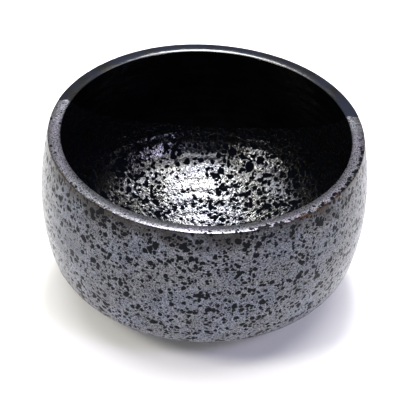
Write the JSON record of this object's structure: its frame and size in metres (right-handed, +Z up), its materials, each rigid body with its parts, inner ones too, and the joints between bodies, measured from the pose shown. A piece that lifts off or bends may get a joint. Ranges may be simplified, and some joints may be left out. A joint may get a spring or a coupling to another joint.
{
  "type": "matcha bowl",
  "caption": "Round tea bowl with near-upright walls, a tight hip and a foot ring, in speckled silver-black glaze with a slanted gloss black dip over part of the rim.",
  "frame": {"origin": "centre of the circle that the foot ring stands on, at floor level", "axes": "+Z up, out of the bowl's mouth; +Y towards the side with the gloss black dip; +X to the right when that side is at the back"},
  "size_m": [0.12, 0.12, 0.068],
  "materials": {
    "fired_clay": "bare iron-bearing stoneware, fired dark brown, dull and slightly gritty",
    "foot_clay": "bare trimmed stoneware, dull, with fine turning marks and iron specks",
    "silver_glaze": "satin metallic grey glaze with irregular near-black spots",
    "silver_lip_glaze": "satin metallic grey, thin, with few small spots, breaking to rust brown at the outer arris",
    "silver_inner_glaze": "satin metallic grey glaze with merging near-black spots and a crinkled surface",
    "black_glaze": "smooth gloss black with a blue cast",
    "black_lip_glaze": "smooth gloss blue-black, breaking to olive brown at the inner edge",
    "black_inner_glaze": "smooth gloss black"
  },
  "bodies": {
    "root": {"clay_body": "fired_clay", "foot_ring": "foot_clay", "silver_glaze_outside": "silver_glaze", "silver_glaze_lip": "silver_lip_glaze", "silver_glaze_inside": "silver_inner_glaze", "black_glaze_outside": "black_glaze", "black_glaze_lip": "black_lip_glaze", "black_glaze_inside": "black_inner_glaze"}
  },
  "joints": []
}
